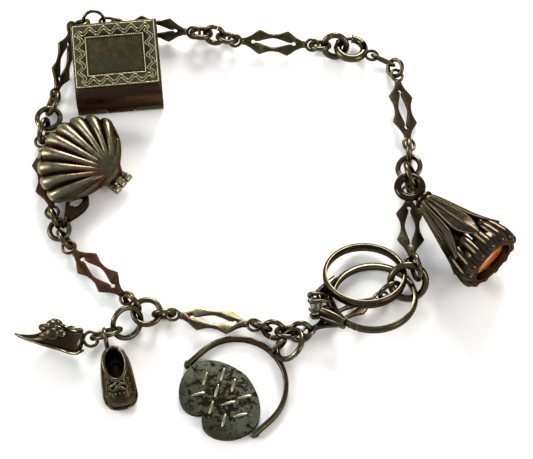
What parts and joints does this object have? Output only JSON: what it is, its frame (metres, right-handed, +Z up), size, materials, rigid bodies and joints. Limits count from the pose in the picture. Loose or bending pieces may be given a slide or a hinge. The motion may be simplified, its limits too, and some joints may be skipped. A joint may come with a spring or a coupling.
{
  "type": "charm bracelet",
  "caption": "Charm bracelet lying flat: openwork links and round rings with a bolt-ring clasp, carrying a book and a shell locket, shoes, a heart spinner, finger rings and a fob seal.",
  "frame": {"origin": "middle of the bounding box on the surface the bracelet lies on", "axes": "+Z up from the surface; +X towards the side with the fob seal; -Y towards the heart spinner"},
  "size_m": [0.0766, 0.0726, 0.0117],
  "materials": {
    "chain_silver": "tarnished silver",
    "ring_silver": "tarnished silver, rubbed bright",
    "dark_silver": "dark tarnished silver",
    "shell_silver": "tarnished silver, bright ribs",
    "fob_silver": "dark polished silver",
    "worn_disc": "worn grey-green silver",
    "clear_stone": "faceted clear stone",
    "orange_stone": "polished orange chalcedony"
  },
  "bodies": {
    "bracelet": {"link_1": "chain_silver", "link_2": "chain_silver", "link_3": "chain_silver", "link_4": "chain_silver", "link_5": "chain_silver", "link_6": "chain_silver", "link_7": "chain_silver", "link_8": "chain_silver", "link_9": "chain_silver", "ring_1a": "ring_silver", "ring_1b": "ring_silver", "ring_1c": "ring_silver", "ring_2a": "ring_silver", "ring_2b": "ring_silver", "ring_2c": "ring_silver", "ring_3a": "ring_silver", "ring_3b": "ring_silver", "ring_3c": "ring_silver", "ring_4a": "ring_silver", "ring_4b": "ring_silver", "ring_5a": "ring_silver", "ring_5b": "ring_silver", "ring_5c": "ring_silver", "ring_5d": "ring_silver", "ring_6a": "ring_silver", "ring_6b": "ring_silver", "ring_6c": "ring_silver", "ring_7a": "ring_silver", "ring_7b": "ring_silver", "ring_7c": "ring_silver", "ring_8a": "ring_silver", "ring_8b": "ring_silver", "ring_8c": "ring_silver", "ring_9a": "ring_silver", "ring_9b": "ring_silver", "ring_9c": "ring_silver", "oblong_ring": "ring_silver", "thick_ring": "ring_silver", "fob_ring": "ring_silver", "spinner_ring": "ring_silver", "shoes_ring": "ring_silver", "slipper_ring": "ring_silver", "clasp_body": "ring_silver", "book_base": "dark_silver", "shell_base": "shell_silver", "clip_body": "dark_silver", "slipper": "dark_silver", "bootee": "dark_silver", "spinner_hoop": "chain_silver", "band_ring": "chain_silver", "solitaire_ring": "chain_silver", "solitaire_stone": "clear_stone", "fob_body": "fob_silver", "fob_stone": "orange_stone"},
    "book_cover": {"book_lid": "dark_silver"},
    "shell_upper": {"shell_lid": "shell_silver"},
    "heart": {"spinner_heart": "worn_disc"},
    "clip_thumb": {"clip_lever": "ring_silver"},
    "clasp_slide": {"clasp_bolt": "ring_silver"}
  },
  "joints": [
    {"name": "book_hinge", "type": "hinge", "parent": "bracelet", "child": "book_cover", "pos_m": [-0.02336, 0.0195, 0.00068], "axis": [0.9954, 0.0958, 0], "range_deg": [0, 20]},
    {"name": "shell_hinge", "type": "hinge", "parent": "bracelet", "child": "shell_upper", "pos_m": [-0.02261, 0.00545, 0.00198], "axis": [0.6018, 0.7986, 0], "range_deg": [0, 90]},
    {"name": "heart_spin", "type": "hinge", "parent": "bracelet", "child": "heart", "pos_m": [-0.00666, -0.02978, 0.00065], "axis": [0.682, -0.7314, 0], "continuous": true},
    {"name": "clip_thumb_pivot", "type": "hinge", "parent": "bracelet", "child": "clip_thumb", "pos_m": [-0.03118, 0.0022, 0.00154], "axis": [-0.0548, -0.0308, -0.998], "range_deg": [0, 25], "stiffness_Nm_per_rad": 0.0004},
    {"name": "clasp_slide_turn", "type": "hinge", "parent": "bracelet", "child": "clasp_slide", "pos_m": [0.01384, 0.02976, 0.0019], "axis": [0.0658, 0.2151, 0.9744], "range_deg": [-45, 0], "stiffness_Nm_per_rad": 0.0004}
  ]
}
